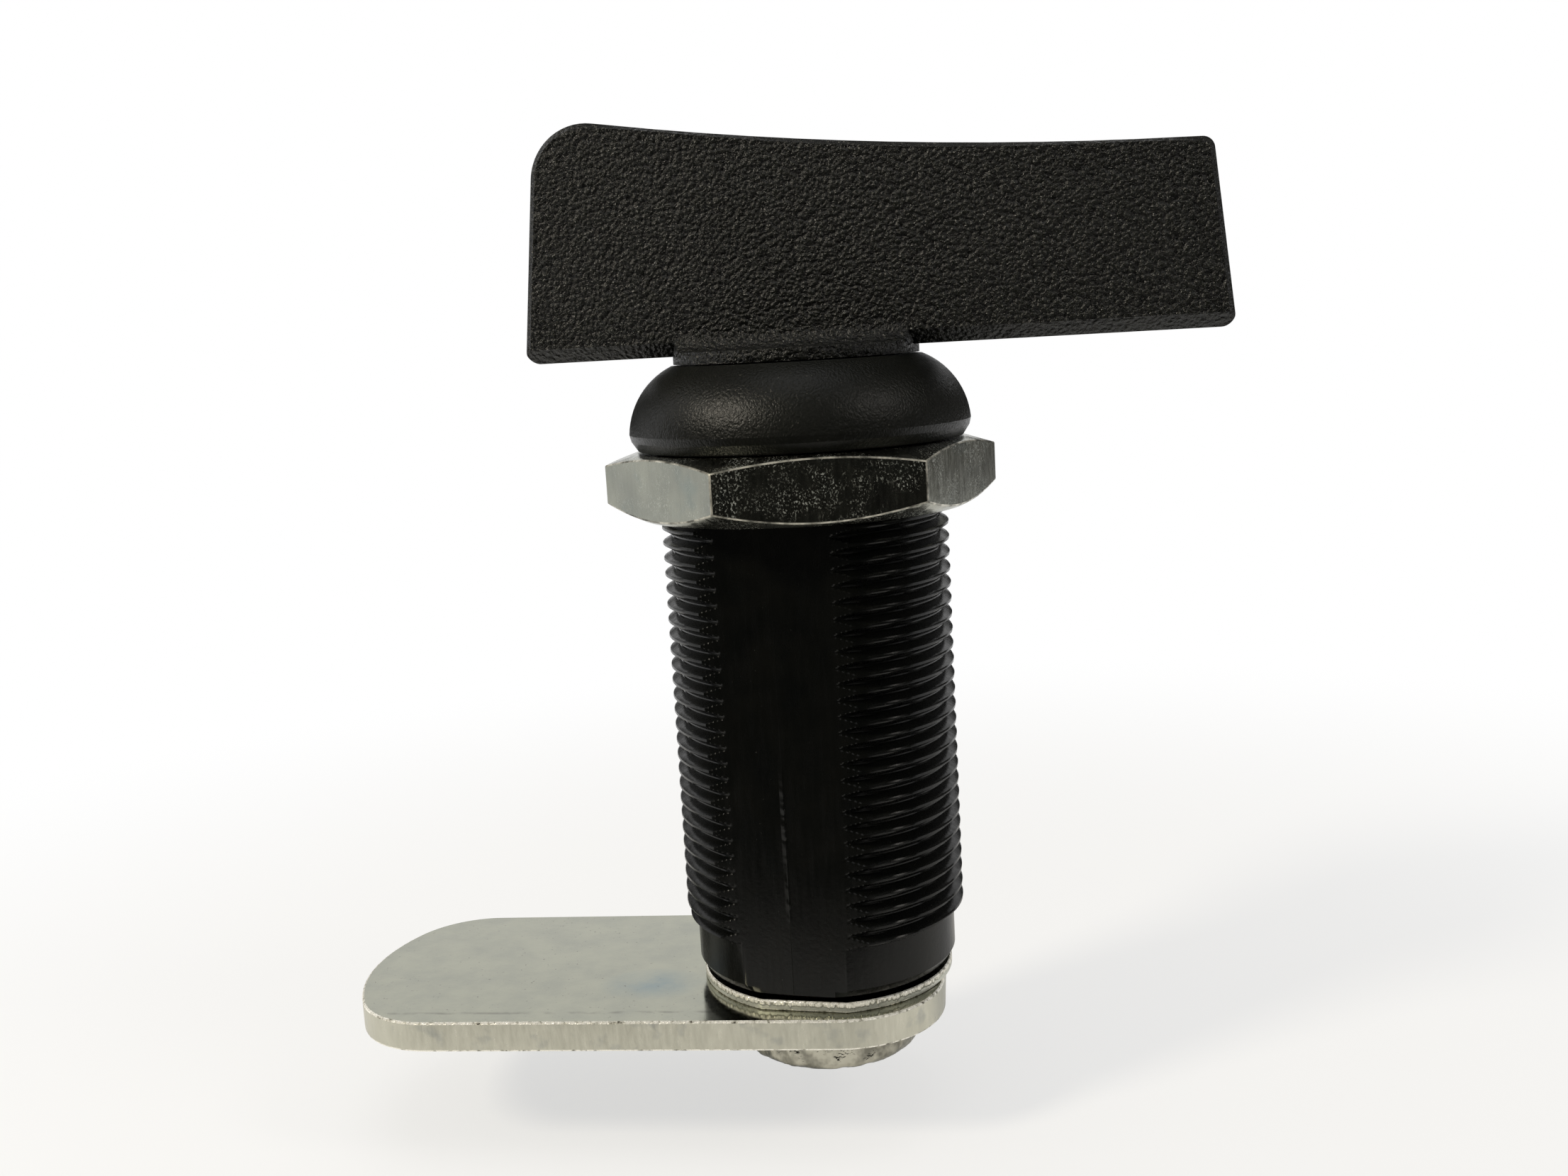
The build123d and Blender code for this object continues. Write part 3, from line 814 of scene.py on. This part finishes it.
def acetal_material():
    """Milky white moulded acetal."""
    n = Nodes("acetal")
    milky, pale = (0.70, 0.69, 0.65), (0.78, 0.77, 0.73)
    n.set(
        Base_Color=n.ramp(n.noise(2.0 * MM), [(0.3, milky), (0.7, pale)]),
        Roughness=n.ramp(n.noise(0.3 * MM), [(0.3, 0.36), (0.7, 0.46)]),
        Normal=n.bump(n.noise(0.3 * MM), 0.006 * MM),
    )
    return n.material


def rubber_material():
    """Soft black seal rubber."""
    n = Nodes("seal_rubber")
    deep, faded = (0.012, 0.012, 0.012), (0.022, 0.022, 0.022)
    n.set(
        Base_Color=n.ramp(n.noise(1.0 * MM), [(0.3, deep), (0.7, faded)]),
        Roughness=n.ramp(n.noise(0.3 * MM), [(0.3, 0.5), (0.7, 0.65)]),
        Normal=n.bump(n.noise(0.2 * MM), 0.008 * MM),
    )
    return n.material


def dress(node, material):
    """Gives a CAD node its finish."""
    mesh = NODES[node].data
    mesh.materials.clear()
    mesh.materials.append(material)


# ------------------------------------------------------------ sizes of the stage, in metres and degrees
VIEW_TURN = radians(14.8)       # how far round from the flat's middle the camera stands
FLOOR_LEVEL = cad_low.z - CAM_LIFT - 0.05 * MM
FLOOR_HALF = 3.0
FLOOR_COLOUR = (0.86, 0.86, 0.85)
SHADOW_END = 0.065              # out to here the floor shows the object's shadow most
WHITE_START = 0.185             # and from here on it is quite white
WHITE_TO_CAMERA = 0.6           # how white the floor is near the object, seen directly
WHITE_IN_MIRRORS = 0.1          # and seen in a reflection
ROOM_COLOUR = (1.0, 0.99, 0.96)
ROOM_STRENGTH = 0.5
APRON_LIFT = 0.1 * MM
APRON_NEAR, APRON_FAR = 0.046, 0.94
APRON_GREY = 0.02

# Cards: name, turns round from the camera, heights, distance and grey.
FRONT = range(-105, 110, 10)
RIGHT = (106, 118, 130, 142)
FRONT_CARDS = (
    ("front_flag", FRONT, (-4, 3, 10), 0.95, 0.03),
    ("upper_flag", FRONT, (10, 20, 35, 50), 1.0, 0.38),
)
OTHER_CARDS = (
    ("right_flag", RIGHT, (-12, 0, 14), 0.4, 0.14),
    ("far_right_flag", (142, 151, 160), (-4, 4, 14), 0.9, 0.04),
    ("low_right_flag", (160, 169), (-4, 4, 12), 0.9, 0.04),
    ("side_flag", RIGHT, (14, 24, 34, 42), 0.95, 0.16),
    ("far_left_flag", (-154, -141, -128), (-4, 4, 12, 20), 0.9, 0.06),
    ("low_left_flag", (-168, -161, -154), (-4, 4, 11), 0.9, 0.06),
    ("back_flag", range(105, 256, 15), (42, 50, 60), 1.1, 0.26),
    ("top_flag", range(-180, 181, 20), (50, 60, 75, 90), 1.2, 0.10),
)
# Lamps: name, turn round from the camera, height, distance, width, power and colour.
LAMPS = (
    ("left_lamp", -58, 37, 0.6, 0.12, 1.9, (1.0, 0.92, 0.77)),
    ("right_lamp", 63, 38, 0.6, 0.18, 0.42, (1.0, 0.95, 0.88)),
    ("top_lamp", 0, 84, 0.7, 0.45, 0.6, (1.0, 1.0, 1.0)),
)


# ------------------------------------------------------------ stage
def view_frame(x, y, z):
    """A point or direction given as right, away and up in the camera's plan, in the frame's axes."""
    return Vector((x * cos(VIEW_TURN) - y * sin(VIEW_TURN), x * sin(VIEW_TURN) + y * cos(VIEW_TURN), z))


def towards(turn, height):
    """Direction turn degrees round from the camera to its right, and height degrees up."""
    level = cos(radians(height))
    return view_frame(level * sin(radians(turn)), -level * cos(radians(turn)), sin(radians(height)))


def stage_sheet(name, points, material):
    """A sheet of the stage; points lists the corners of its faces, four to a face."""
    mesh = bpy.data.meshes.new(name)
    mesh.from_pydata(points, [], [(i, i + 1, i + 2, i + 3) for i in range(0, len(points), 4)])
    mesh.materials.append(material)
    made = bpy.data.objects.new(name, mesh)
    bpy.context.scene.collection.objects.link(made)
    return made


def floor_material():
    """Pale floor that is white where it is seen, but for the object's soft shadow near it."""
    n = Nodes("floor")
    n.set(Base_Color=FLOOR_COLOUR, Roughness=0.9, Specular_IOR_Level=0.1)
    path = n.add("ShaderNodeLightPath").outputs
    mirrored = n.maths("MAXIMUM", path["Is Glossy Ray"], path["Is Transmission Ray"])
    distance = n.length(n.where)
    whites = []
    for rays, least in ((path["Is Camera Ray"], WHITE_TO_CAMERA), (mirrored, WHITE_IN_MIRRORS)):
        rise = n.add("ShaderNodeMapRange", interpolation_type="SMOOTHSTEP")
        limits = {"From Min": SHADOW_END, "From Max": WHITE_START, "To Min": least, "To Max": 1.0}
        for name, value in limits.items():
            rise.inputs[name].default_value = value
        n.link(distance, rise.inputs["Value"])
        whites.append(n.maths("MULTIPLY", rise.outputs[0], rays))
    shown = n.blend(n.maths("ADD", *whites), n.shader, n.add("ShaderNodeEmission"))
    n.link(shown, n.tree.nodes["Material Output"].inputs["Surface"])
    return n.material


def make_floor():
    """The floor lies just under the lowest place that the cam comes down to."""
    sides = ((-1, -1), (1, -1), (1, 1), (-1, 1))
    corners = [(x * FLOOR_HALF, y * FLOOR_HALF, FLOOR_LEVEL) for x, y in sides]
    stage_sheet("floor", corners, floor_material())


def make_card(name, points, grey):
    """A dull grey card that only reflections show."""
    n = Nodes(name)
    n.set(Base_Color=(grey, grey, grey), Roughness=1.0, Specular_IOR_Level=0.0)
    made = stage_sheet(name, points, n.material)
    made.visible_camera = False
    made.visible_diffuse = False
    made.visible_shadow = False


def screen(turns, heights, distance):
    """Corner points of a curved screen round the object."""
    points = []
    for low, high in zip(heights, heights[1:]):
        for left, right in zip(turns, turns[1:]):
            for turn, height in ((left, low), (right, low), (right, high), (left, high)):
                points.append(towards(turn, height) * distance)
    return points


def apron(near, far):
    """Corner points of a sheet lying just above the floor in front of the object."""
    level = FLOOR_LEVEL + APRON_LIFT
    return [view_frame(x, y, level) for x, y in ((-far, -near), (far, -near), (far, -far), (-far, -far))]


def make_screens(cards):
    """The curved cards that a table lists."""
    for name, turns, heights, distance, grey in cards:
        make_card(name, screen(turns, heights, distance), grey)


def make_world():
    """White where it is seen or mirrored, and a plain soft light on everything else."""
    world = bpy.data.worlds.new("room")
    bpy.context.scene.world = world
    world.use_nodes = True
    n = Tree(world.node_tree)
    n.tree.nodes.clear()
    white = n.add("ShaderNodeBackground")
    white.inputs["Color"].default_value = (1, 1, 1, 1)
    room = n.add("ShaderNodeBackground")
    room.inputs["Color"].default_value = (*ROOM_COLOUR, 1)
    room.inputs["Strength"].default_value = ROOM_STRENGTH
    path = n.add("ShaderNodeLightPath").outputs
    seen = n.maths("MAXIMUM", path["Is Camera Ray"], path["Is Glossy Ray"])
    seen = n.maths("MAXIMUM", seen, path["Is Transmission Ray"])
    output = n.add("ShaderNodeOutputWorld")
    n.link(n.blend(seen, room, white), output.inputs["Surface"])


def make_lamp(name, turn, height, distance, width, power, colour):
    """A round soft lamp facing the object from the direction given."""
    lamp = bpy.data.lights.new(name, "AREA")
    lamp.shape = "DISK"
    lamp.size = width
    lamp.energy = power
    lamp.color = colour
    made = bpy.data.objects.new(name, lamp)
    made.location = (cad_low + cad_high) / 2 + towards(turn, height) * distance
    made.rotation_euler = towards(turn, height).to_track_quat("Z", "Y").to_euler()
    bpy.context.scene.collection.objects.link(made)


def make_stage():
    """Floor, world, cards and lamps."""
    make_floor()
    make_world()
    make_screens(FRONT_CARDS)
    make_card("floor_flag", apron(APRON_NEAR, APRON_FAR), APRON_GREY)
    make_screens(OTHER_CARDS)
    for lamp in LAMPS:
        make_lamp(*lamp)


# ------------------------------------------------------------ camera
CAMERA_DISTANCE = 121.8 * MM
CAMERA_HEIGHT = 8.45 * MM
CAMERA_PITCH = radians(9.24)    # below the horizon
CAMERA_YAW = radians(-0.907)
CAMERA_ROLL = radians(3.238)
CAMERA_LENS = 36.18
CAMERA_NEAREST = 0.005
SENSOR_WIDTH = 36.0


def make_camera():
    """The camera, level first and then rolled, and last turned round Z to its place."""
    away = Vector((
        sin(CAMERA_YAW) * cos(CAMERA_PITCH),
        cos(CAMERA_YAW) * cos(CAMERA_PITCH),
        -sin(CAMERA_PITCH),
    ))
    level_right = away.cross(Vector((0, 0, 1))).normalized()
    level_up = level_right.cross(away)
    right = cos(CAMERA_ROLL) * level_right - sin(CAMERA_ROLL) * level_up
    up = sin(CAMERA_ROLL) * level_right + cos(CAMERA_ROLL) * level_up
    turn = Matrix.Rotation(VIEW_TURN, 3, "Z")
    axes = Matrix((turn @ right, turn @ up, turn @ -away)).transposed()
    data = bpy.data.cameras.new("camera")
    data.sensor_width = SENSOR_WIDTH
    data.lens = CAMERA_LENS
    data.clip_start = CAMERA_NEAREST
    made = bpy.data.objects.new("camera", data)
    made.matrix_world = Matrix.Translation(view_frame(0, -CAMERA_DISTANCE, CAMERA_HEIGHT)) @ axes.to_4x4()
    bpy.context.scene.collection.objects.link(made)
    bpy.context.scene.camera = made


# ------------------------------------------------------------ the object
make_barrel(black_barrel_material(), flange_material())
make_screw(screw_material())

CAM_NICKS = (0.08, 0.07, 0.06)
WASHER_NICKS = (0.20, 0.19, 0.15)
cam_edge = worn_edge_and_glint_material("rubbed_edge_and_glint", CAM_NICKS)
washer_edge = worn_edge_and_glint_material("washer_edge_wear_and_glint", WASHER_NICKS)
wing_finish = [wing_material()]
nut_finish = [nut_material(), broken_bright_edge_material()]
cam_finish = [cam_material(), cam_edge, sheared_and_painted_light_material()]
washer_finish = [cam_material(), washer_edge, washer_side_material()]
skin("wing_handle", "wing_casting", "wing", wing_finish, WING_ROUND, SHARP_ON_WING)
skin("hex_nut", "mounting_nut", "nut", nut_finish, NUT_ROUND, SHARP_ON_NUT)
skin("cam", "cam_arm", "shaft", cam_finish, CAM_ROUND)
skin("stop_washer", "flat_washer", "shaft", washer_finish, WASHER_ROUND)
steel = steel_material()
for name in ("thrust_washer", "guide_sleeve", "hub_pin", "drive_tube", "shaft", "cross_pin"):
    dress(name, steel)
spring = spring_material()
for name in ("end_ring", "return_spring"):
    dress(name, spring)
dress("end_bush", bronze_material())
acetal = acetal_material()
for name in ("drag_washer", "spring_seat"):
    dress(name, acetal)
dress("hub_o_ring", rubber_material())

make_stage()
make_camera()

scene = bpy.context.scene
scene.view_settings.view_transform = "Standard"
